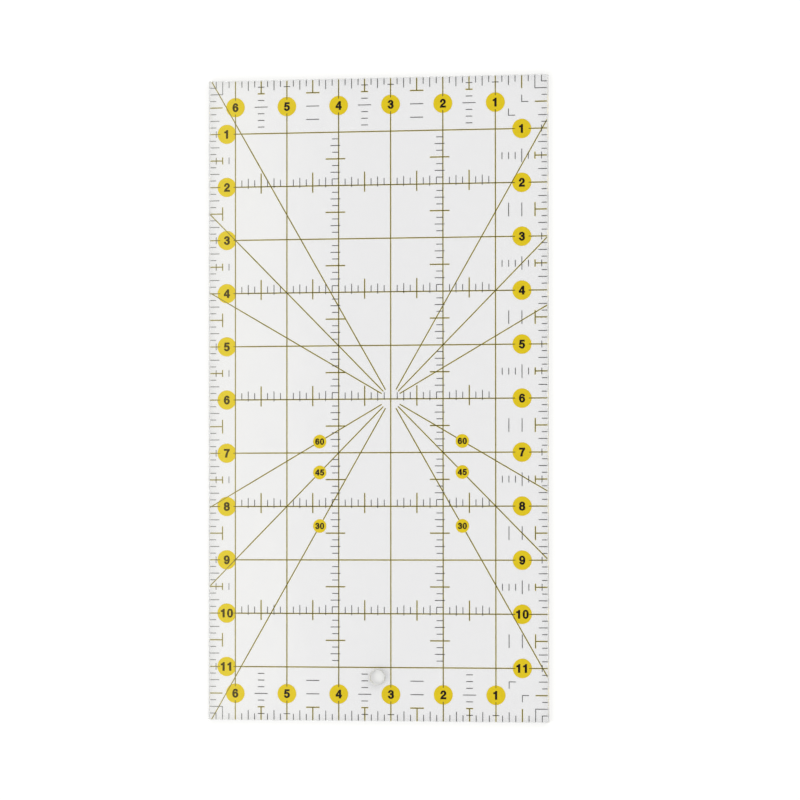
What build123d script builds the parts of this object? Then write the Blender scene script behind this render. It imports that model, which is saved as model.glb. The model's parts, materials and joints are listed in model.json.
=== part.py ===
from build123d import *
import math
import os

# Quilting ruler: one clear acrylic sheet with a two-colour print on its back face.
# Frame: millimetres, X across the width, Y along the length, +Z out of the face that is read.
# Origin: centre of the outline, on the plane the ruler rests on (the outermost ink).

# ---- driving dimensions ----
INCH = 25.4
EIGHTH = INCH / 8
QUARTER = INCH / 4

WIDTH_IN = 6.5                # sheet, across
LENGTH_IN = 12.0              # sheet, along
WIDTH = WIDTH_IN * INCH
LENGTH = LENGTH_IN * INCH
SHEET = 3.0                   # acrylic thickness
CORNER_R = 0.5                # eased vertical corners
EDGE_BREAK = 0.25             # chamfer on the rims of both faces
HOLE_R = 3.5                  # hanging hole
HOLE_X = 0.0
HOLE_FROM_BOTTOM = 20.8       # hole centre from the lower short edge

INK = 0.02                    # thickness of one coat of ink
BACK = 2 * INK                # height of the sheet's back face above the rest plane
PRINT_MARGIN = 0.30           # the print stops this far inside the outline

# stroke widths: a core is black, a band is the yellow behind it
LINE_CORE = 0.33              # plain inch line
SCALE_CORE = 0.37             # inch line that carries a scale
LINE_BAND = 0.57              # every inch line
TICK_W = 0.32
HALF_CORE = 0.36              # half-inch tick
HALF_BAND = 0.60
ANGLE_CORE = 0.32
ANGLE_BAND = 0.55
DASH_W = 0.33                 # short cross dashes

# inch lines: columns in inches from the right edge, rows in inches from the top edge
COLUMNS = range(1, math.ceil(WIDTH_IN))
ROWS = range(1, math.ceil(LENGTH_IN))
SCALE_COLUMNS = (2, 4)
SCALE_ROWS = (2, 4, 6, 8, 10)

# inch numbers
DISC_R = 4.6                  # yellow disc behind a number
DISC_CLEAR_R = 3.3            # inch lines stop at this radius inside a disc
DISC_INSET_IN = 0.5           # disc centres from the right, top and bottom edges
DISC_INSET_LEFT = 8.46        # disc centres from the left edge
NUMERAL_H = 4.15              # cap height

# angle lines
ANGLES = (30, 45, 60)         # from the long axis
ANGLE_CENTRE_IN = (3.0, 6.0)  # from the right edge, from the top edge
ANGLE_START_R = 5.08          # the lines start this far from their centre
ANGLE_DISC_R = 3.25
ANGLE_CLEAR_R = 2.7           # the lines stop at this radius round an inch number
ANGLE_DISC_DX_IN = 1.366      # sideways distance of the labels from the centre
ANGLE_NUMERAL_H = 2.95

# digit shapes, as shares of cap height
DIGIT_BOX_W = 0.70            # width of the box a digit is drawn in
DIGIT_ADVANCE = 0.783         # pitch of two digits
WEIGHT = 0.035                # how far each digit's outline is pushed out


def x_at(inches):
    """X of a place measured from the right edge."""
    return WIDTH / 2 - inches * INCH


def y_at(inches):
    """Y of a place measured from the top edge."""
    return LENGTH / 2 - inches * INCH


# ---- bars: upright rectangles (x0, y0, x1, y1), clipped to the print area ----
AREA = (
    -WIDTH / 2 + PRINT_MARGIN, -LENGTH / 2 + PRINT_MARGIN,
    WIDTH / 2 - PRINT_MARGIN, LENGTH / 2 - PRINT_MARGIN,
)


def clip_bar(x0, y0, x1, y1):
    x0, x1 = sorted((x0, x1))
    y0, y1 = sorted((y0, y1))
    bar = (max(x0, AREA[0]), max(y0, AREA[1]), min(x1, AREA[2]), min(y1, AREA[3]))
    # rounding makes shared sides exactly equal, so they can index one grid
    return tuple(round(side, 4) for side in bar)


def upright(x, y0, y1, width):
    return clip_bar(x - width / 2, y0, x + width / 2, y1)


def level(y, x0, x1, width):
    return clip_bar(x0, y - width / 2, x1, y + width / 2)


def bar_between(start, end, width):
    """An upright or level bar between two points."""
    if abs(start[0] - end[0]) < 1e-6:
        return upright(start[0], start[1], end[1], width)
    return level(start[1], start[0], end[0], width)


# ---- outlines of joined bars ----
def touch(a, b, gap=1e-6):
    across = a[0] <= b[2] + gap and b[0] <= a[2] + gap
    return across and a[1] <= b[3] + gap and b[1] <= a[3] + gap


def clusters(bars):
    """Groups of bars that touch each other."""
    left, groups = list(bars), []
    while left:
        group, frontier = [], [left.pop()]
        while frontier:
            bar = frontier.pop()
            group.append(bar)
            frontier += [other for other in left if touch(bar, other)]
            left = [other for other in left if not touch(bar, other)]
        groups.append(group)
    return groups


def joined_cells(cells):
    """Split a set of grid cells into pieces that join along cell sides."""
    while cells:
        piece, frontier = set(), [cells.pop()]
        while frontier:
            i, j = frontier.pop()
            piece.add((i, j))
            for cell in ((i + 1, j), (i - 1, j), (i, j + 1), (i, j - 1)):
                if cell in cells:
                    cells.remove(cell)
                    frontier.append(cell)
        yield piece


def boundary_loops(cells):
    """Closed corner loops round a set of grid cells, with the cells on the left."""
    steps = {}
    for i, j in cells:
        for start, end, beyond in (
            ((i, j), (i + 1, j), (i, j - 1)),
            ((i + 1, j), (i + 1, j + 1), (i + 1, j)),
            ((i + 1, j + 1), (i, j + 1), (i, j + 1)),
            ((i, j + 1), (i, j), (i - 1, j)),
        ):
            if beyond not in cells:
                steps.setdefault(start, []).append(end)
    found = []
    while steps:
        start = min(steps)
        here, loop, came = start, [], None
        while True:
            ends = steps[here]
            if came is not None and len(ends) > 1:
                # at a pinch the loop keeps to its own cell, so it turns left
                dx, dy = here[0] - came[0], here[1] - came[1]
                ends.sort(key=lambda e: -(dx * (e[1] - here[1]) - dy * (e[0] - here[0])))
            following = ends.pop(0)
            if not ends:
                del steps[here]
            loop.append(here)
            came, here = here, following
            if here == start:
                break
        found.append(loop)
    return found


def true_corners(points):
    """A closed loop without the points that lie along a straight side."""
    kept = []
    for n, point in enumerate(points):
        before, after = points[n - 1], points[(n + 1) % len(points)]
        if not any(before[axis] == point[axis] == after[axis] for axis in (0, 1)):
            kept.append(point)
    return kept


def double_area(points):
    """Twice the signed area of a loop, positive if it runs anticlockwise."""
    return sum(a[0] * b[1] - b[0] * a[1] for a, b in zip(points, points[1:] + points[:1]))


def outlines(bars, cuts):
    """The union of bars less cuts, as (outer loop, [hole loops]) in millimetres."""
    found = []
    for group in clusters(bars):
        x0s, y0s, x1s, y1s = zip(*group)
        box = (min(x0s), min(y0s), max(x1s), max(y1s))
        near = [cut for cut in cuts if touch(box, cut)]
        xs = sorted({x for bar in group + near for x in (bar[0], bar[2])})
        ys = sorted({y for bar in group + near for y in (bar[1], bar[3])})
        column = {x: i for i, x in enumerate(xs)}
        row = {y: j for j, y in enumerate(ys)}

        def covered(bar):
            x0, y0, x1, y1 = bar
            return {
                (i, j)
                for i in range(column[x0], column[x1])
                for j in range(row[y0], row[y1])
            }

        cells = set()
        for bar in group:
            cells |= covered(bar)
        for cut in near:
            cells -= covered(cut)
        for piece in joined_cells(cells):
            outer, holes = None, []
            for loop in boundary_loops(piece):
                points = true_corners([(xs[i], ys[j]) for i, j in loop])
                if double_area(points) > 0:
                    outer = points
                else:
                    holes.append(points)
            found.append((outer, holes))
    return found


# ---- numerals: a bold upright sans, drawn on a cap height of 1 ----
# Each contour is a start point, then lines (x, y) and curves (x1, y1, x2, y2, x, y).
# The first contour of a digit is its outside, the others are holes.
def oval(cx, cy, rx, ry, pull=0.56):
    return [
        (cx + rx, cy),
        (cx + rx, cy + pull * ry, cx + pull * rx, cy + ry, cx, cy + ry),
        (cx - pull * rx, cy + ry, cx - rx, cy + pull * ry, cx - rx, cy),
        (cx - rx, cy - pull * ry, cx - pull * rx, cy - ry, cx, cy - ry),
        (cx + pull * rx, cy - ry, cx + rx, cy - pull * ry, cx + rx, cy),
    ]


def turned(contours):
    """A numeral turned half a turn about the middle of its box."""
    far_corner = (DIGIT_BOX_W, 1.0)
    return [
        [tuple(far_corner[k % 2] - value for k, value in enumerate(item)) for item in contour]
        for contour in contours
    ]


SIX = [
    [
        (0.65, 0.745), (0.46, 0.745),
        (0.45, 0.815, 0.415, 0.858, 0.36, 0.858), (0.27, 0.858, 0.225, 0.76, 0.22, 0.575),
        (0.26, 0.635, 0.315, 0.66, 0.385, 0.66), (0.555, 0.66, 0.675, 0.53, 0.675, 0.335),
        (0.675, 0.125, 0.55, -0.015, 0.355, -0.015), (0.135, -0.015, 0.025, 0.155, 0.025, 0.475),
        (0.025, 0.825, 0.145, 1.015, 0.37, 1.015), (0.53, 1.015, 0.635, 0.915, 0.65, 0.745),
    ],
    oval(0.35, 0.325, 0.13, 0.185),
]

DIGITS = {
    "0": [oval(0.35, 0.5, 0.325, 0.515, pull=0.60), oval(0.35, 0.5, 0.13, 0.36, pull=0.60)],
    "1": [[
        (0.27, 0.0), (0.468, 0.0), (0.468, 1.0), (0.318, 1.0),
        (0.30, 0.89, 0.21, 0.815, 0.07, 0.81), (0.07, 0.672), (0.27, 0.672), (0.27, 0.0),
    ]],
    "2": [[
        (0.035, 0.0), (0.045, 0.20, 0.13, 0.31, 0.27, 0.415),
        (0.40, 0.51, 0.468, 0.575, 0.468, 0.685), (0.468, 0.79, 0.42, 0.852, 0.35, 0.852),
        (0.27, 0.852, 0.237, 0.78, 0.235, 0.64), (0.045, 0.64),
        (0.045, 0.88, 0.16, 1.015, 0.355, 1.015), (0.55, 1.015, 0.67, 0.88, 0.67, 0.69),
        (0.67, 0.55, 0.60, 0.455, 0.46, 0.36), (0.36, 0.292, 0.315, 0.255, 0.285, 0.18),
        (0.67, 0.18), (0.67, 0.0), (0.035, 0.0),
    ]],
    "3": [[
        (0.03, 0.305), (0.03, 0.11, 0.15, -0.015, 0.35, -0.015),
        (0.55, -0.015, 0.675, 0.11, 0.675, 0.29), (0.675, 0.41, 0.62, 0.495, 0.53, 0.53),
        (0.605, 0.57, 0.65, 0.645, 0.65, 0.745), (0.65, 0.905, 0.53, 1.015, 0.35, 1.015),
        (0.165, 1.015, 0.055, 0.90, 0.05, 0.715), (0.235, 0.715),
        (0.237, 0.81, 0.28, 0.86, 0.35, 0.86), (0.415, 0.86, 0.455, 0.815, 0.455, 0.735),
        (0.455, 0.645, 0.40, 0.60, 0.30, 0.60), (0.265, 0.60), (0.265, 0.46), (0.315, 0.46),
        (0.42, 0.46, 0.475, 0.405, 0.475, 0.30), (0.475, 0.20, 0.425, 0.145, 0.35, 0.145),
        (0.27, 0.145, 0.225, 0.20, 0.222, 0.305), (0.03, 0.305),
    ]],
    "4": [
        [
            (0.40, 0.0), (0.59, 0.0), (0.59, 0.225), (0.69, 0.225), (0.69, 0.385), (0.59, 0.385),
            (0.59, 1.0), (0.41, 1.0), (0.02, 0.40), (0.02, 0.225), (0.40, 0.225), (0.40, 0.0),
        ],
        [(0.40, 0.385), (0.40, 0.765), (0.165, 0.385), (0.40, 0.385)],
    ],
    "5": [[
        (0.635, 1.0), (0.13, 1.0), (0.05, 0.44), (0.225, 0.44),
        (0.25, 0.487, 0.29, 0.515, 0.345, 0.515), (0.425, 0.515, 0.475, 0.445, 0.475, 0.335),
        (0.475, 0.22, 0.425, 0.145, 0.34, 0.145), (0.275, 0.145, 0.232, 0.187, 0.222, 0.265),
        (0.025, 0.265), (0.04, 0.09, 0.155, -0.015, 0.34, -0.015),
        (0.545, -0.015, 0.675, 0.125, 0.675, 0.345), (0.675, 0.535, 0.57, 0.66, 0.41, 0.66),
        (0.345, 0.66, 0.295, 0.643, 0.25, 0.605), (0.285, 0.83), (0.635, 0.83), (0.635, 1.0),
    ]],
    "6": SIX,
    "7": [[
        (0.04, 1.0), (0.67, 1.0), (0.67, 0.85), (0.52, 0.68, 0.40, 0.40, 0.375, 0.0),
        (0.165, 0.0), (0.20, 0.34, 0.31, 0.62, 0.475, 0.825), (0.04, 0.825), (0.04, 1.0),
    ]],
    "8": [
        [
            (0.35, -0.015), (0.56, -0.015, 0.68, 0.10, 0.68, 0.285),
            (0.68, 0.40, 0.625, 0.49, 0.525, 0.53), (0.605, 0.57, 0.65, 0.645, 0.65, 0.745),
            (0.65, 0.91, 0.535, 1.015, 0.35, 1.015), (0.165, 1.015, 0.05, 0.91, 0.05, 0.745),
            (0.05, 0.645, 0.095, 0.57, 0.175, 0.53), (0.075, 0.49, 0.02, 0.40, 0.02, 0.285),
            (0.02, 0.10, 0.14, -0.015, 0.35, -0.015),
        ],
        oval(0.35, 0.735, 0.115, 0.125),
        oval(0.35, 0.30, 0.14, 0.155),
    ],
    "9": turned(SIX),
}


def unit(start, end):
    length = math.hypot(end[0] - start[0], end[1] - start[1])
    return (end[0] - start[0]) / length, (end[1] - start[1]) / length


def arc_middle(start, tangent, end):
    """Middle of the arc that leaves start along tangent and reaches end."""
    dx, dy = end[0] - start[0], end[1] - start[1]
    half_turn = math.atan2(tangent[0] * dy - tangent[1] * dx, tangent[0] * dx + tangent[1] * dy)
    bulge = 0.5 * math.tan(half_turn / 2)
    return 0.5 * (start[0] + end[0]) + bulge * dy, 0.5 * (start[1] + end[1]) - bulge * dx


def arc_pair(start, control0, control1, end):
    """Two tangent arcs that follow a curve, as (middle, end) points."""
    leave, arrive = unit(start, control0), unit(control1, end)
    chord = (end[0] - start[0], end[1] - start[1])
    both = (leave[0] + arrive[0], leave[1] + arrive[1])
    chord_sq = chord[0] ** 2 + chord[1] ** 2
    chord_both = chord[0] * both[0] + chord[1] * both[1]
    spread = 2 * (1 - leave[0] * arrive[0] - leave[1] * arrive[1])
    # equal tangent lengths at both ends place the point where the arcs join
    if spread > 1e-9:
        reach = (-chord_both + math.sqrt(chord_both * chord_both + spread * chord_sq)) / spread
    else:
        reach = chord_sq / (2 * chord_both)
    join = tuple(0.5 * (start[k] + end[k] + reach * (leave[k] - arrive[k])) for k in (0, 1))
    back = (-arrive[0], -arrive[1])
    return (arc_middle(start, leave, join), join), (arc_middle(end, back, join), end)


def contour_wire(contour, place):
    """The wire of a contour, with each point put in space by place."""
    edges, here = [], contour[0]
    for item in contour[1:]:
        if len(item) == 2:
            edges.append(Edge.make_line(place(here), place(item)))
        else:
            for middle, end in arc_pair(here, item[0:2], item[2:4], item[4:6]):
                edges.append(Edge.make_three_point_arc(place(here), place(middle), place(end)))
                here = end
        here = item[-2:]
    return Wire(edges)


def heavier(contour, grow):
    """A contour with every leg of its control polygon moved outwards, or inwards if negative."""
    points = [item[k:k + 2] for item in contour for k in range(0, len(item), 2)][:-1]
    side = grow if double_area(points) > 0 else -grow
    normals = []
    for start, end in zip(points, points[1:] + points[:1]):
        dx, dy = unit(start, end)
        normals.append((dy, -dx))
    moved = []
    for n, (x, y) in enumerate(points):
        (ax, ay), (bx, by) = normals[n - 1], normals[n]
        shift = side / (1 + ax * bx + ay * by)
        moved.append((x + shift * (ax + bx), y + shift * (ay + by)))
    moved.append(moved[0])
    regrouped, at = [], 0
    for item in contour:
        count = len(item) // 2
        regrouped.append(tuple(value for point in moved[at:at + count] for value in point))
        at += count
    return regrouped


def numeral(text, x, y, cap, bottom, top):
    """The digits of a number, centred on (x, y)."""
    solids = []
    for n, digit in enumerate(text):
        pitches = DIGIT_ADVANCE * (n - len(text) / 2)
        left = x + cap * (pitches + (DIGIT_ADVANCE - DIGIT_BOX_W) / 2)

        def place(point):
            rise = cap * (point[1] - 0.5) / (1 + 2 * WEIGHT)
            return Vector(left + cap * point[0], y + rise, bottom)

        outside, *holes = DIGITS[digit]
        outer_wire = contour_wire(heavier(outside, WEIGHT), place)
        hole_wires = [contour_wire(heavier(hole, -WEIGHT), place) for hole in holes]
        solids.append(Solid.extrude(Face(outer_wire, hole_wires), Vector(0, 0, top - bottom)))
    return solids


# ---- angle strips ----
def clip_polygon(polygon):
    """A convex polygon cut to the print area."""
    sides = ((0, AREA[0], 1), (0, AREA[2], -1), (1, AREA[1], 1), (1, AREA[3], -1))
    for axis, limit, inward in sides:
        kept = []
        for a, b in zip(polygon, polygon[1:] + polygon[:1]):
            depth_a, depth_b = inward * (a[axis] - limit), inward * (b[axis] - limit)
            if depth_a >= 0:
                kept.append(a)
            if depth_a * depth_b < 0:
                share = depth_a / (depth_a - depth_b)
                kept.append((a[0] + share * (b[0] - a[0]), a[1] + share * (b[1] - a[1])))
        polygon = kept
    return polygon


def angle_strips(angle, width):
    """Four strips from the angle centre, one in each quarter."""
    cx, cy = x_at(ANGLE_CENTRE_IN[0]), y_at(ANGLE_CENTRE_IN[1])
    near, far = ANGLE_START_R, 2 * LENGTH
    for sx in (1, -1):
        for sy in (1, -1):
            dx, dy = sx * math.sin(math.radians(angle)), sy * math.cos(math.radians(angle))
            strip = [
                (cx + reach * dx - side * dy * width / 2, cy + reach * dy + side * dx * width / 2)
                for reach, side in ((near, 1), (near, -1), (far, -1), (far, 1))
            ]
            yield clip_polygon(strip if sx * sy > 0 else strip[::-1])


def crosses(strip, box):
    """Does a convex strip meet an upright box? No side of either may separate them."""
    x0, y0, x1, y1 = box
    corners = [(x0, y0), (x1, y0), (x1, y1), (x0, y1)]
    for polygon in (strip, corners):
        for a, b in zip(polygon, polygon[1:] + polygon[:1]):
            nx, ny = b[1] - a[1], a[0] - b[0]
            strip_span = [nx * x + ny * y for x, y in strip]
            box_span = [nx * x + ny * y for x, y in corners]
            if max(strip_span) <= min(box_span) or max(box_span) <= min(strip_span):
                return False
    return True


# ---- coats of ink ----
def ring(points, z):
    return Wire.make_polygon([Vector(x, y, z) for x, y in points], close=True)


def box_of(solid):
    box = solid.bounding_box()
    return (box.min.X, box.min.Y, box.max.X, box.max.Y)


def overlap(a, b):
    return a[0] < b[2] and b[0] < a[2] and a[1] < b[3] and b[1] < a[3]


def less(solid, tools):
    """The solids left when tools are cut out of a solid."""
    if not tools:
        return [solid]
    left = solid.cut(*tools)
    return [part for part in (left.solids() if left is not None else []) if part.volume > 1e-6]


class Coat:
    """One colour of ink: bars waiting to be laid, and the solids already laid."""

    def __init__(self, colour, bottom, top):
        self.colour, self.bottom, self.top = colour, bottom, top
        self.bars = {}        # piece name -> bars, in order of precedence
        self.laid = []        # (piece name, solid, outline box)

    def draw(self, name, *bars):
        """Queue bars for a piece, without any that clipping left empty."""
        solid_bars = [b for b in bars if b[2] - b[0] > 1e-3 and b[3] - b[1] > 1e-3]
        self.bars.setdefault(name, []).extend(solid_bars)

    def slab(self, outer, holes=()):
        face = Face(ring(outer, self.bottom), [ring(hole, self.bottom) for hole in holes])
        return Solid.extrude(face, Vector(0, 0, self.top - self.bottom))

    def disc(self, x, y, radius):
        return Solid.make_cylinder(radius, self.top - self.bottom, Plane((x, y, self.bottom)))

    def lay(self, name, solids):
        self.laid += [(name, solid, box_of(solid)) for solid in solids]

    def lay_numbers(self, name, places, cap):
        for x, y, text in places:
            self.lay(name, numeral(text, x, y, cap, self.bottom, self.top))

    def lay_discs(self, name, places, radius):
        self.lay(name, [self.disc(x, y, radius) for x, y, _ in places])

    def lay_bars(self):
        """Lay all queued bars, clear of earlier pieces and of what is already laid."""
        before, taken = list(self.laid), []
        for name, bars in self.bars.items():
            for outer, holes in outlines(bars, taken):
                full = self.slab(outer, holes)
                full_box = box_of(full)
                tools = [solid for _, solid, box in before if overlap(box, full_box)]
                self.lay(name, less(full, tools))
            taken += bars

    def lay_angle_lines(self, width, gaps=()):
        """Lay the angle lines, clear of everything laid and of round gaps (x, y, radius)."""
        for angle in ANGLES:
            for strip in angle_strips(angle, width):
                tools = [solid for _, solid, box in self.laid if crosses(strip, box)]
                tools += [
                    self.disc(x, y, r)
                    for x, y, r in gaps
                    if crosses(strip, (x - r, y - r, x + r, y + r))
                ]
                self.lay(f"angle_{angle}_lines", less(self.slab(strip), tools))

    def pieces(self):
        named = {}
        for name, solid, _ in self.laid:
            named.setdefault(f"{name}_{self.colour}", []).append(solid)
        return named


# Black is printed straight on the sheet and yellow is laid flat behind it.
BLACK = Coat("black", INK, BACK)
YELLOW = Coat("yellow", 0.0, INK)


# ---- places of the numbers, as (x, y, text) ----
LEFT_DISC_X = -WIDTH / 2 + DISC_INSET_LEFT
RIGHT_DISC_X = x_at(DISC_INSET_IN)
TOP_DISC_Y = y_at(DISC_INSET_IN)
BOTTOM_DISC_Y = y_at(LENGTH_IN - DISC_INSET_IN)
INCH_PLACES = {
    "right": [(RIGHT_DISC_X, y_at(row), str(row)) for row in ROWS],
    "left": [(LEFT_DISC_X, y_at(row), str(row)) for row in ROWS],
    "top": [(x_at(column), TOP_DISC_Y, str(column)) for column in COLUMNS],
    "bottom": [(x_at(column), BOTTOM_DISC_Y, str(column)) for column in COLUMNS],
}


def angle_label_places():
    """One label on each of the two lower lines of every angle."""
    dx = ANGLE_DISC_DX_IN * INCH
    return [
        (
            x_at(ANGLE_CENTRE_IN[0]) + sx * dx,
            y_at(ANGLE_CENTRE_IN[1]) - dx / math.tan(math.radians(angle)),
            str(angle),
        )
        for angle in ANGLES
        for sx in (1, -1)
    ]


ANGLE_PLACES = angle_label_places()


# ---- inch lines and their scales ----
def inch_line(family, carries_scale, bar, place, reach, low_disc, high_disc):
    """A line right across the sheet; its black core breaks inside the number discs."""
    name = f"{family}_{'scales' if carries_scale else 'lines'}"
    core = SCALE_CORE if carries_scale else LINE_CORE
    BLACK.draw(
        name,
        bar(place, -reach, low_disc - DISC_CLEAR_R, core),
        bar(place, low_disc + DISC_CLEAR_R, high_disc - DISC_CLEAR_R, core),
        bar(place, high_disc + DISC_CLEAR_R, reach, core),
    )
    YELLOW.draw(name, bar(place, -reach, reach, LINE_BAND))


def draw_inch_lines():
    # scale lines come first, so they take precedence over plain ones
    for column in sorted(COLUMNS, key=lambda inch: inch not in SCALE_COLUMNS):
        inch_line("column", column in SCALE_COLUMNS, upright, x_at(column), LENGTH,
                  BOTTOM_DISC_Y, TOP_DISC_Y)
    for row in sorted(ROWS, key=lambda inch: inch not in SCALE_ROWS):
        inch_line("row", row in SCALE_ROWS, level, y_at(row), WIDTH,
                  LEFT_DISC_X, RIGHT_DISC_X)


def draw_scale(name, inches, bar, place_at, line, toward):
    """Eighth-inch ticks on a line, longer on the side toward (+1 or -1)."""
    for eighth in range(1, (inches[-1] - inches[0]) * 8):
        place = place_at(inches[0] + eighth / 8)
        if eighth % 8 == 4:
            ends = (line + toward * QUARTER, line - toward * EIGHTH)
            BLACK.draw(name, bar(place, *ends, HALF_CORE))
            YELLOW.draw(name, bar(place, *ends, HALF_BAND))
        elif eighth % 8:
            overshoot = EIGHTH * 0.25 if eighth % 2 == 0 else 0
            ends = (line + toward * (EIGHTH + overshoot), line - toward * overshoot)
            BLACK.draw(name, bar(place, *ends, TICK_W))


def draw_scales():
    for column in SCALE_COLUMNS:
        draw_scale("column_scales", ROWS, level, y_at, x_at(column), toward=-1)
    for row in SCALE_ROWS:
        draw_scale("row_scales", COLUMNS, upright, x_at, y_at(row), toward=1)


# ---- marks round the rim ----
# Dashes inward of each half-inch mark, as (depth in eighths, length),
# for the halves after odd inches (1) and after even inches (0).
FULL_LADDER = {
    1: ((3, EIGHTH), (4, QUARTER), (5, EIGHTH), (6, EIGHTH), (7, EIGHTH)),
    0: ((4, QUARTER), (6, QUARTER)),
}
LEFT_LADDER = {1: ((3, EIGHTH),), 0: ()}


def draw_rim(side, length_in, inches, point_at, ladder):
    """Marks of one edge; point_at maps (inches along the edge, depth in mm) to a point."""
    ticks, halves = f"edge_ticks_{side}", f"half_marks_{side}"

    def tick(place, depth, width):
        return bar_between(point_at(place, 0), point_at(place, depth), width)

    def dash(place, depth, length, width):
        half = length / 2 / INCH
        return bar_between(point_at(place - half, depth), point_at(place + half, depth), width)

    for eighth in range(3, int(length_in * 8) - 2):
        if eighth % 8 == 4:
            BLACK.draw(halves, tick(eighth / 8, QUARTER, HALF_CORE))
            YELLOW.draw(halves, tick(eighth / 8, QUARTER, HALF_BAND))
        elif eighth % 8:
            depth = EIGHTH * (1.5 if eighth % 2 == 0 else 1.0)
            BLACK.draw(ticks, tick(eighth / 8, depth, TICK_W))
    for inch in inches:
        if inch % 2:
            BLACK.draw("cross_bars", dash(inch, EIGHTH, EIGHTH, DASH_W))
    for inch in inches[:-1]:
        place, odd = inch + 0.5, inch % 2
        if odd:
            BLACK.draw(halves, dash(place, EIGHTH, EIGHTH, DASH_W))
        cross = EIGHTH if odd else QUARTER
        BLACK.draw(halves, dash(place, QUARTER, cross, HALF_CORE))
        YELLOW.draw(halves, dash(place, QUARTER, cross + HALF_BAND - HALF_CORE, HALF_BAND))
        for depth, length in ladder[odd]:
            BLACK.draw("ladder_dashes", dash(place, depth * EIGHTH, length, DASH_W))


def draw_rims():
    draw_rim("top", WIDTH_IN, COLUMNS, lambda s, d: (x_at(s), LENGTH / 2 - d), FULL_LADDER)
    draw_rim("bottom", WIDTH_IN, COLUMNS, lambda s, d: (x_at(s), -LENGTH / 2 + d), FULL_LADDER)
    draw_rim("right", LENGTH_IN, ROWS, lambda s, d: (WIDTH / 2 - d, y_at(s)), FULL_LADDER)
    draw_rim("left", LENGTH_IN, ROWS, lambda s, d: (-WIDTH / 2 + d, y_at(s)), LEFT_LADDER)


def draw_corner_marks():
    """Two nested angles joined to the edges, and on the right two more short ones inside."""
    half = TICK_W / 2
    for sx in (1, -1):
        for sy in (1, -1):
            corner_x, corner_y = sx * WIDTH / 2, sy * LENGTH / 2
            for eighths in (1, 2):
                x, y = corner_x - sx * eighths * EIGHTH, corner_y - sy * eighths * EIGHTH
                BLACK.draw("corner_marks",
                           upright(x, corner_y, y - sy * half, TICK_W),
                           level(y, corner_x, x - sx * half, TICK_W))
            for eighths in (4, 6) if sx > 0 else ():
                x, y = corner_x - eighths * EIGHTH, corner_y - sy * eighths * EIGHTH
                BLACK.draw("corner_marks",
                           upright(x, y - sy * half, y + sy * EIGHTH, TICK_W),
                           level(y, x - half, x + EIGHTH, TICK_W))


# ---- the coats and the sheet ----
def lay_black():
    BLACK.lay_bars()
    gaps = [(x, y, ANGLE_DISC_R) for x, y, _ in ANGLE_PLACES]
    gaps += [(x, y, ANGLE_CLEAR_R) for places in INCH_PLACES.values() for x, y, _ in places]
    BLACK.lay_angle_lines(ANGLE_CORE, gaps)
    for side, places in INCH_PLACES.items():
        BLACK.lay_numbers(f"inch_numbers_{side}", places, NUMERAL_H)
    BLACK.lay_numbers("angle_numbers", ANGLE_PLACES, ANGLE_NUMERAL_H)


def lay_yellow():
    # the discs go down first, so that the bands stop at their rims
    for side, places in INCH_PLACES.items():
        YELLOW.lay_discs(f"inch_discs_{side}", places, DISC_R)
    YELLOW.lay_discs("angle_discs", ANGLE_PLACES, ANGLE_DISC_R)
    YELLOW.lay_bars()
    YELLOW.lay_angle_lines(ANGLE_BAND)


def acrylic_sheet():
    sheet = extrude(Plane.XY.offset(BACK) * Rectangle(WIDTH, LENGTH), SHEET)
    sheet = fillet(sheet.edges().filter_by(Axis.Z), CORNER_R)
    hole = Cylinder(HOLE_R, SHEET, align=(Align.CENTER, Align.CENTER, Align.MIN))
    sheet -= Pos(HOLE_X, -LENGTH / 2 + HOLE_FROM_BOTTOM, BACK) * hole
    sheet = chamfer(sheet.faces().filter_by(Axis.Z).edges(), EDGE_BREAK)
    return sheet.solid()


draw_inch_lines()
draw_scales()
draw_rims()
draw_corner_marks()
lay_black()
lay_yellow()

# ---- one file per named piece ----
os.makedirs("parts", exist_ok=True)
pieces = {"acrylic_sheet": [acrylic_sheet()], **BLACK.pieces(), **YELLOW.pieces()}
for name, solids in pieces.items():
    shape = Compound(solids) if len(solids) > 1 else solids[0]
    export_step(shape, f"parts/{name}.step")
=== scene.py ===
"""A clear acrylic sheet with a drilled hanging hole, carrying black and yellow screen-printed marks.

The sheet lies flat in the XY plane with its front face up (+Z). The print lies close to z = 0,
just inside the sheet's back face, and -X is the left of the sheet. Lengths are in metres.
"""
import json
import math

import bmesh
import bpy
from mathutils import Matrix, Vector


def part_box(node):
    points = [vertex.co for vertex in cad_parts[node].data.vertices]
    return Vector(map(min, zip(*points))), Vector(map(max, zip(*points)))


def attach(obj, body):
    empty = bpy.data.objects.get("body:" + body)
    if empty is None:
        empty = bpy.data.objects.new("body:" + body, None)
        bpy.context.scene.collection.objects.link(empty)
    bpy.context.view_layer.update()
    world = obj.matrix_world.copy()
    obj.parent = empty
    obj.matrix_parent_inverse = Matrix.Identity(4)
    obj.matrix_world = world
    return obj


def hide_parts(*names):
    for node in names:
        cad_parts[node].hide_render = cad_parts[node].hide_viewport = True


MM = 0.001


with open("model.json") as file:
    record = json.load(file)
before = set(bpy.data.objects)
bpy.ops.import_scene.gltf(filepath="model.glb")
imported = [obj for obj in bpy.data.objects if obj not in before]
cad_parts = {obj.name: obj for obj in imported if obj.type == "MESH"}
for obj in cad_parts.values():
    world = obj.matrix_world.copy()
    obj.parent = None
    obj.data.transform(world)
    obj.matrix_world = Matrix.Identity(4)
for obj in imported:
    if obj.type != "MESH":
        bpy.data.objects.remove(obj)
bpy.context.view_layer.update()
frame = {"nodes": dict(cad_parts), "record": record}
SHEET_LOW, SHEET_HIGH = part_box("acrylic_sheet")


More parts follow.
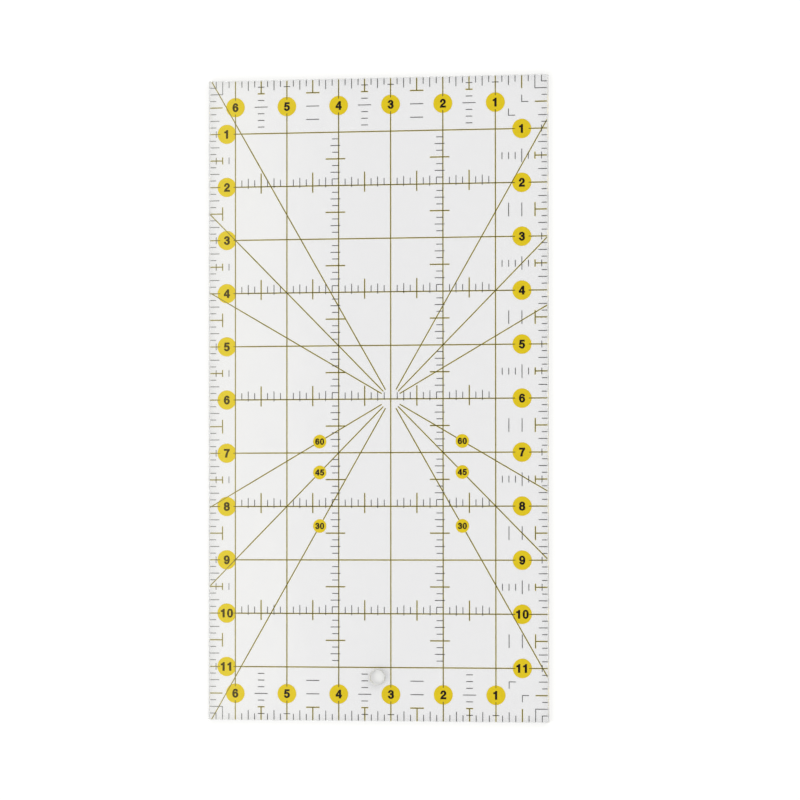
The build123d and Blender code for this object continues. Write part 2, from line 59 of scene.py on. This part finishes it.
# ---------------------------------------------------------------- node helpers
def add_node(tree, kind, inputs=None, **settings):
    """Add a node. Settings are its properties; inputs hold a value or a socket to link."""
    added = tree.nodes.new(kind)
    for key, value in settings.items():
        setattr(added, key, value)
    for key, value in (inputs or {}).items():
        if isinstance(value, bpy.types.NodeSocket):
            tree.links.new(value, added.inputs[key])
        else:
            added.inputs[key].default_value = value
    return added


def new_material(name):
    """An empty material and its node tree."""
    material = bpy.data.materials.new(name)
    material.use_nodes = True
    material.node_tree.nodes.clear()
    return material, material.node_tree


def set_surface(tree, shader):
    add_node(tree, "ShaderNodeOutputMaterial", {"Surface": shader.outputs[0]})


def opaque(rgb):
    return (*rgb, 1)


def math_node(tree, operation, first, second):
    return add_node(tree, "ShaderNodeMath", {0: first, 1: second}, operation=operation).outputs[0]


def mix_colors(tree, factor, first, second, blend="MIX"):
    inputs = {"Factor": factor, "A": first, "B": second}
    mix = add_node(tree, "ShaderNodeMix", inputs, data_type="RGBA", blend_type=blend)
    return mix.outputs["Result"]


def map_range(tree, value, low, high, start=0.0, end=1.0, curve="LINEAR"):
    """Carry value from the range start..end to the range low..high."""
    inputs = {"Value": value, "From Min": start, "From Max": end, "To Min": low, "To Max": high}
    mapped = add_node(tree, "ShaderNodeMapRange", inputs, interpolation_type=curve)
    return mapped.outputs["Result"]


def gray_ramp(tree, source, *stops):
    """A color ramp with two stops, each a position and a gray level."""
    ramp = add_node(tree, "ShaderNodeValToRGB", {"Fac": source})
    for element, (position, gray) in zip(ramp.color_ramp.elements, stops):
        element.position = position
        element.color = (gray, gray, gray, 1)
    return ramp.outputs["Color"]


def scaled_position(tree, scale, turn=0.0):
    """Object position turned about Z and scaled per axis, so that detail has a real size."""
    coordinates = add_node(tree, "ShaderNodeTexCoord")
    inputs = {"Vector": coordinates.outputs["Object"], "Rotation": (0, 0, turn), "Scale": scale}
    return add_node(tree, "ShaderNodeMapping", inputs).outputs["Vector"]


def noise(tree, scale, detail, roughness, turn=0.0):
    inputs = {
        "Vector": scaled_position(tree, scale, turn),
        "Scale": 1.0,
        "Detail": detail,
        "Roughness": roughness,
    }
    return add_node(tree, "ShaderNodeTexNoise", inputs).outputs["Fac"]


def bump(tree, height, strength, distance, normal=None):
    inputs = {"Height": height, "Strength": strength, "Distance": distance}
    if normal:
        inputs["Normal"] = normal
    return add_node(tree, "ShaderNodeBump", inputs).outputs["Normal"]


# ---------------------------------------------------------------- acrylic
ACRYLIC_IOR = 1.49


def set_acrylic_surface(tree, tint, clarity, shade, roughness, normal):
    """Refracting acrylic to the eye. Shadow and diffuse rays pass straight through, dimmed by
    shade, so that what lies under the sheet is lit."""
    glass = add_node(tree, "ShaderNodeBsdfPrincipled", {
        "Base Color": opaque(tint),
        "Transmission Weight": clarity,
        "IOR": ACRYLIC_IOR,
        "Roughness": roughness,
        "Normal": normal,
    })
    straight = add_node(tree, "ShaderNodeBsdfTransparent", {"Color": opaque(shade)})
    path = add_node(tree, "ShaderNodeLightPath").outputs
    passes = math_node(tree, "MAXIMUM", path["Is Shadow Ray"], path["Is Diffuse Ray"])
    set_surface(tree, add_node(tree, "ShaderNodeMixShader", {
        "Fac": passes,
        1: glass.outputs[0],
        2: straight.outputs[0],
    }))


def acrylic_face_material():
    """The flat faces: faint unevenness of a cast sheet, and hairline scratches from handling."""
    material, tree = new_material("clear_acrylic_sheet")
    unevenness = noise(tree, (28.0,) * 3, detail=2.0, roughness=0.5)

    # three sets of long thin streaks: turn about Z in radians, fineness
    layers = []
    for turn, fineness in ((0.5, 1.0), (-0.9, 1.4), (1.9, 0.8)):
        scale = (14.0 * fineness, 1400.0 * fineness, 1.0)
        streaks = noise(tree, scale, detail=1.0, roughness=0.4, turn=turn)
        layers.append(gray_ramp(tree, streaks, (0.70, 0), (0.76, 1)))
    scratches = layers[0]
    for layer in layers[1:]:
        scratches = mix_colors(tree, 1.0, scratches, layer, blend="LIGHTEN")

    normal = bump(tree, unevenness, strength=0.02, distance=0.004)
    set_acrylic_surface(
        tree,
        tint=(0.936, 0.936, 0.942),
        clarity=1.0,
        shade=(0.951, 0.951, 0.957),
        # polished, a little rougher on the hairlines
        roughness=map_range(tree, scratches, low=0.0, high=0.06),
        normal=bump(tree, scratches, strength=0.05, distance=0.00002, normal=normal),
    )
    return material


def acrylic_cut_material(name, tint, clarity, shade, smoothest, roughest, grain_strength):
    """A cut face: part clear, part frosted, with a fine grain along Z from the cutting tool."""
    material, tree = new_material(name)
    grain = noise(tree, (2600.0, 2600.0, 60.0), detail=3.0, roughness=0.6)
    set_acrylic_surface(
        tree,
        tint=tint,
        clarity=clarity,
        shade=shade,
        roughness=map_range(tree, grain, smoothest, roughest, start=0.3, end=0.7),
        normal=bump(tree, grain, strength=grain_strength, distance=0.00003),
    )
    return material


# ---------------------------------------------------------------- sheet
SHEET_BACK = -0.01 * MM  # just below the print, so that the sheet wraps it
RIM_EASE = 0.25 * MM  # radius of the quarter rounds on the rims and the lips of the hole
CORNER_RADIUS = 0.5 * MM
MIN_CORNER_RADIUS = 0.08 * MM
CORNER_STEPS = 8
EASE_STEPS = 5
HOLE_SEGMENTS = 128
FACE_SLOT, EDGE_SLOT, HOLE_SLOT = range(3)


def sheet_outline(inset):
    """The outline from above with rounded corners, drawn in by inset."""
    low, high = SHEET_LOW, SHEET_HIGH
    radius = max(CORNER_RADIUS - inset, MIN_CORNER_RADIUS)
    # corner x and y, and the angle in degrees where its arc starts
    corners = (
        (high.x, high.y, 0),
        (low.x, high.y, 90),
        (low.x, low.y, 180),
        (high.x, low.y, 270),
    )
    points = []
    for x, y, start in corners:
        center_x = x - (1 if x > 0 else -1) * (inset + radius)
        center_y = y - (1 if y > 0 else -1) * (inset + radius)
        for k in range(CORNER_STEPS + 1):
            angle = math.radians(start + 90 * k / CORNER_STEPS)
            points.append((center_x + radius * math.cos(angle),
                           center_y + radius * math.sin(angle)))
    return points


def hole_outline(widening):
    """The circle of the hanging hole, made larger by widening."""
    mounts = frame["record"]["mounts"]
    hole = next(mount for mount in mounts if mount["name"] == "hang_hole")
    x, y = hole["pos_m"][0], hole["pos_m"][1]
    radius = hole["dims"]["r_mm"] * MM + widening
    angles = [2 * math.pi * k / HOLE_SEGMENTS for k in range(HOLE_SEGMENTS)]
    return [(x + radius * math.cos(angle), y + radius * math.sin(angle)) for angle in angles]


def rim_profile():
    """Offset into the material and height, from the front face round to the back face."""
    angles = [math.radians(90 * k / EASE_STEPS) for k in range(EASE_STEPS + 1)]
    front = [(RIM_EASE * (1 - math.sin(angle)),
              SHEET_HIGH.z - RIM_EASE * (1 - math.cos(angle))) for angle in angles]
    back = [(RIM_EASE * (1 - math.cos(angle)),
             SHEET_BACK + RIM_EASE * (1 - math.sin(angle))) for angle in angles]
    return front + back


def add_wall(bm, outline, flip, slot):
    """Sweep an outline down the rim profile. Returns its front and back rings of vertices."""
    rings = [[bm.verts.new((x, y, z)) for x, y in outline(offset)] for offset, z in rim_profile()]
    for upper, lower in zip(rings, rings[1:]):
        for i in range(len(upper)):
            j = (i + 1) % len(upper)
            corners = (upper[i], lower[i], lower[j], upper[j])
            face = bm.faces.new(corners[::-1] if flip else corners)
            face.smooth = True
            face.material_index = slot
    return rings[0], rings[-1]


def add_flat_face(bm, outer, inner, up):
    """Fill between the sheet's ring and the hole's ring."""
    edges = {
        bm.edges.get((ring[i], ring[(i + 1) % len(ring)]))
        for ring in (outer, inner)
        for i in range(len(ring))
    }
    filled = bmesh.ops.triangle_fill(
        bm,
        edges=list(edges),
        use_beauty=True,
        use_dissolve=False,
        normal=(0, 0, 1 if up else -1),
    )
    for face in filled["geom"]:
        if isinstance(face, bmesh.types.BMFace):
            face.smooth = False
            face.material_index = FACE_SLOT
            if (face.normal.z > 0) != up:
                face.normal_flip()


def add_mesh_object(name, bm):
    mesh = bpy.data.meshes.new(name)
    bm.to_mesh(mesh)
    bm.free()
    added = bpy.data.objects.new(name, mesh)
    bpy.context.scene.collection.objects.link(added)
    return added


def build_sheet():
    """The clear sheet: rounded corners, eased rims and a drilled hole with eased lips."""
    bm = bmesh.new()
    edge_front, edge_back = add_wall(bm, sheet_outline, flip=False, slot=EDGE_SLOT)
    hole_front, hole_back = add_wall(bm, hole_outline, flip=True, slot=HOLE_SLOT)
    add_flat_face(bm, edge_front, hole_front, up=True)
    add_flat_face(bm, edge_back, hole_back, up=False)
    bm.normal_update()
    bmesh.ops.recalc_face_normals(bm, faces=bm.faces[:])
    sheet = add_mesh_object("sheet_clear_acrylic", bm)
    # in slot order: flat faces, outer edge, wall of the hole
    sheet.data.materials.append(acrylic_face_material())
    sheet.data.materials.append(acrylic_cut_material(
        "acrylic_cut_edge",
        tint=(0.865, 0.87, 0.87),
        clarity=0.55,
        shade=(0.80, 0.80, 0.80),
        smoothest=0.12,
        roughest=0.30,
        grain_strength=0.25,
    ))
    sheet.data.materials.append(acrylic_cut_material(
        "acrylic_drilled_wall",
        tint=(0.72, 0.72, 0.68),
        clarity=0.50,
        shade=(0.50, 0.50, 0.50),
        smoothest=0.45,
        roughest=0.65,
        grain_strength=0.35,
    ))
    return sheet


# ---------------------------------------------------------------- inks
INK_ROUGHNESS = 0.5
BLACK_MOTTLE, YELLOW_MOTTLE = 0.35, 0.12  # how strongly the fine grain darkens each ink
# distances from the sheet's left side between which the painted reflection gives way to the plain
# ink
PAINTED_REFLECTION_START, PAINTED_REFLECTION_END = 0.008, 0.0225


def mesh_weave(tree):
    """The crossed threads of the printing screen."""
    threads = [
        add_node(
            tree,
            "ShaderNodeTexWave",
            {"Vector": scaled_position(tree, (2400.0,) * 3), "Scale": 1.0, "Distortion": 0.6},
            wave_type="BANDS",
            bands_direction=axis,
        ).outputs["Fac"]
        for axis in "XY"
    ]
    return math_node(tree, "MULTIPLY", *threads)


def ink_material(name, color, deep, painted_reflection, mottle):
    """Screen-printed ink: it drifts between color and deep, has a fine dark grain and a faint
    weave. Near the sheet's left side it turns lighter: a painted reflection of the room over the
    print."""
    material, tree = new_material(name)
    drift = noise(tree, (90.0,) * 3, detail=3.0, roughness=0.55)
    grain = noise(tree, (5200.0,) * 3, detail=3.0, roughness=0.7)

    density = gray_ramp(tree, drift, (0.30, 0.35), (0.62, 1))
    tone = mix_colors(tree, density, opaque(deep), opaque(color))
    specks = gray_ramp(tree, grain, (0.28, 0.55), (0.55, 1))
    mottled = mix_colors(tree, mottle, tone, specks, blend="MULTIPLY")

    place = add_node(tree, "ShaderNodeSeparateXYZ", {0: scaled_position(tree, (1.0,) * 3)})
    # painted reflection: full at the sheet's left side, gone further in
    painted_reflection_amount = map_range(
        tree,
        place.outputs["X"],
        low=1.0,
        high=0.0,
        start=SHEET_LOW.x + PAINTED_REFLECTION_START,
        end=SHEET_LOW.x + PAINTED_REFLECTION_END,
        curve="SMOOTHSTEP",
    )
    roughness = map_range(tree, grain, low=INK_ROUGHNESS - 0.08, high=INK_ROUGHNESS + 0.10)
    # the base color takes on the painted reflection near the left side
    set_surface(tree, add_node(tree, "ShaderNodeBsdfPrincipled", {
        "Base Color": mix_colors(tree, painted_reflection_amount, mottled, opaque(painted_reflection)),
        "Roughness": roughness,
        "Specular IOR Level": 0.15,
        "Normal": bump(tree, mesh_weave(tree), strength=0.25, distance=0.000006),
    }))
    return material


# each ink's last color is a painted reflection, laid over the print near the sheet's left side
black = ink_material(
    "black_screen_ink",
    color=(0.030, 0.030, 0.031),
    deep=(0.042, 0.041, 0.042),
    painted_reflection=(0.22, 0.22, 0.215),
    mottle=BLACK_MOTTLE,
)
black_lines = ink_material(
    "black_screen_ink_lines",
    color=(0.030, 0.029, 0.028),
    deep=(0.042, 0.040, 0.038),
    painted_reflection=(0.18, 0.15, 0.06),
    mottle=BLACK_MOTTLE,
)
black_over_yellow = ink_material(
    "black_ink_over_yellow",
    color=(0.006, 0.003, 0.001),
    deep=(0.012, 0.006, 0.002),
    painted_reflection=(0.066, 0.048, 0.006),
    mottle=BLACK_MOTTLE,
)
yellow = ink_material(
    "yellow_screen_ink",
    color=(0.735, 0.553, 0.011),
    deep=(0.695, 0.515, 0.009),
    painted_reflection=(0.738, 0.572, 0.026),
    mottle=YELLOW_MOTTLE,
)
yellow_fine = ink_material(
    "yellow_screen_ink_fine_lines",
    color=(0.73, 0.60, 0.028),
    deep=(0.69, 0.56, 0.022),
    painted_reflection=(0.80, 0.72, 0.30),
    mottle=YELLOW_MOTTLE,
)


def ink_for(name):
    """The ink for a printed piece, by the words in its name."""
    if not name.endswith("_black"):
        return yellow if "discs" in name else yellow_fine
    if "numbers" in name:
        return black_over_yellow
    if any(word in name for word in ("lines", "scales", "half_marks")):
        return black_lines
    return black


for name, piece in frame["nodes"].items():
    if name == "acrylic_sheet":
        continue
    piece.data.materials.clear()
    piece.data.materials.append(ink_for(name))
    for polygon in piece.data.polygons:
        polygon.material_index = 0

sheet = build_sheet()
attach(sheet, "root")
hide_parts("acrylic_sheet")

# ---------------------------------------------------------------- floor
FLOOR_HALF = 6.0
FLOOR_Z = -0.05 * MM


def build_floor():
    """A large matt white square just under the sheet."""
    bm = bmesh.new()
    corners = ((-1, -1), (1, -1), (1, 1), (-1, 1))
    bm.faces.new([bm.verts.new((x * FLOOR_HALF, y * FLOOR_HALF, FLOOR_Z)) for x, y in corners])
    floor = add_mesh_object("floor", bm)
    material, tree = new_material("studio_floor")
    set_surface(tree, add_node(tree, "ShaderNodeBsdfPrincipled", {
        "Base Color": (0.92, 0.92, 0.92, 1),
        "Roughness": 0.9,
        "Specular IOR Level": 0.0,
    }))
    floor.data.materials.append(material)
    return floor


build_floor()

# ---------------------------------------------------------------- world
# The panels overhead are placed by slope: the sideways part of a direction over its rise.
# Each pair is where a soft border starts and ends.
PALE_PANEL_LEFT = (-0.75, -0.55)
PANEL_SEAM = (-0.285, -0.238)  # between the pale panel and the dark one
DARK_PANEL_RIGHT = (0.25, 0.45)
PANEL_ENDS = (0.40, 0.60)  # the same toward +Y and -Y
MIN_RISE = 0.05  # keeps the slopes finite near and below the horizon
ROOM_LEVEL, DARK_PANEL_LEVEL = 0.79, 0.04
PALE_PANEL_CHANGE = -0.10
PALE_PANEL_TINT = (1.0, 0.97, 0.62)


def build_world():
    """A soft white room with a dark panel overhead, and a pale warm panel to its left, which
    the sheet mirrors."""
    world = bpy.data.worlds.new("studio")
    bpy.context.scene.world = world
    world.use_nodes = True
    tree = world.node_tree
    coordinates = add_node(tree, "ShaderNodeTexCoord")
    direction = add_node(tree, "ShaderNodeSeparateXYZ", {0: coordinates.outputs["Generated"]})
    rise = math_node(tree, "MAXIMUM", direction.outputs["Z"], MIN_RISE)
    slope_x, slope_y = [math_node(tree, "DIVIDE", direction.outputs[axis], rise) for axis in "XY"]
    absolute = add_node(tree, "ShaderNodeMath", {0: slope_y}, operation="ABSOLUTE")

    def blend(value, low, high, start=0.0, end=1.0):
        return map_range(tree, value, low, high, start, end, curve="SMOOTHSTEP")

    def panel(left, right):
        """1 inside the panel and 0 outside it."""
        across = math_node(
            tree, "MULTIPLY", blend(slope_x, 0.0, 1.0, *left), blend(slope_x, 1.0, 0.0, *right))
        return math_node(
            tree, "MULTIPLY", across, blend(absolute.outputs[0], 1.0, 0.0, *PANEL_ENDS))

    dark = panel(PANEL_SEAM, DARK_PANEL_RIGHT)
    pale = panel(PALE_PANEL_LEFT, PANEL_SEAM)
    level = blend(dark, ROOM_LEVEL, DARK_PANEL_LEVEL)
    change = blend(pale, 0.0, PALE_PANEL_CHANGE)
    tint = mix_colors(tree, pale, opaque((1.0, 1.0, 1.0)), opaque(PALE_PANEL_TINT))
    background = tree.nodes["Background"]
    tree.links.new(math_node(tree, "ADD", level, change), background.inputs["Strength"])
    tree.links.new(tint, background.inputs["Color"])


build_world()


# ---------------------------------------------------------------- lights
def add_area_light(name, location, size, power):
    """A square area light aimed at the origin."""
    light = bpy.data.lights.new(name, "AREA")
    light.shape = "RECTANGLE"
    light.size = size
    light.size_y = size
    light.energy = power
    lamp = bpy.data.objects.new(name, light)
    lamp.location = location
    lamp.rotation_euler = (-Vector(location)).to_track_quat("-Z", "Y").to_euler()
    bpy.context.scene.collection.objects.link(lamp)


add_area_light("key", location=(-1.0, -0.8, 1.6), size=1.2, power=16.8)
add_area_light("fill", location=(1.0, 0.9, 1.5), size=1.4, power=12.4)

# ---------------------------------------------------------------- camera
CAMERA_PLACE = (531.947 * MM, -57.99085 * MM, 2189.45015 * MM)
CAMERA_TURN = (0.0254, 0.23377, -0.00059)  # radians about X, Y, Z
FOCAL_LENGTH = 214.0456779  # in mm, as is the sensor width
SENSOR_WIDTH = 36.0

scene = bpy.context.scene
lens = bpy.data.cameras.new("camera")
lens.sensor_fit = "HORIZONTAL"
lens.sensor_width = SENSOR_WIDTH
lens.lens = FOCAL_LENGTH
lens.clip_start = 0.05
lens.clip_end = 20.0
camera = bpy.data.objects.new("camera", lens)
camera.location = CAMERA_PLACE
camera.rotation_euler = CAMERA_TURN
scene.collection.objects.link(camera)
scene.camera = camera

# ---------------------------------------------------------------- render
# enough bounces for light that runs along inside the clear sheet
scene.cycles.max_bounces = 24
scene.cycles.glossy_bounces = 20
scene.cycles.transmission_bounces = 20
scene.cycles.transparent_max_bounces = 24

scene.view_settings.view_transform = "Standard"
scene.view_settings.look = "None"
scene.view_settings.exposure = 0.0
scene.view_settings.gamma = 1.0
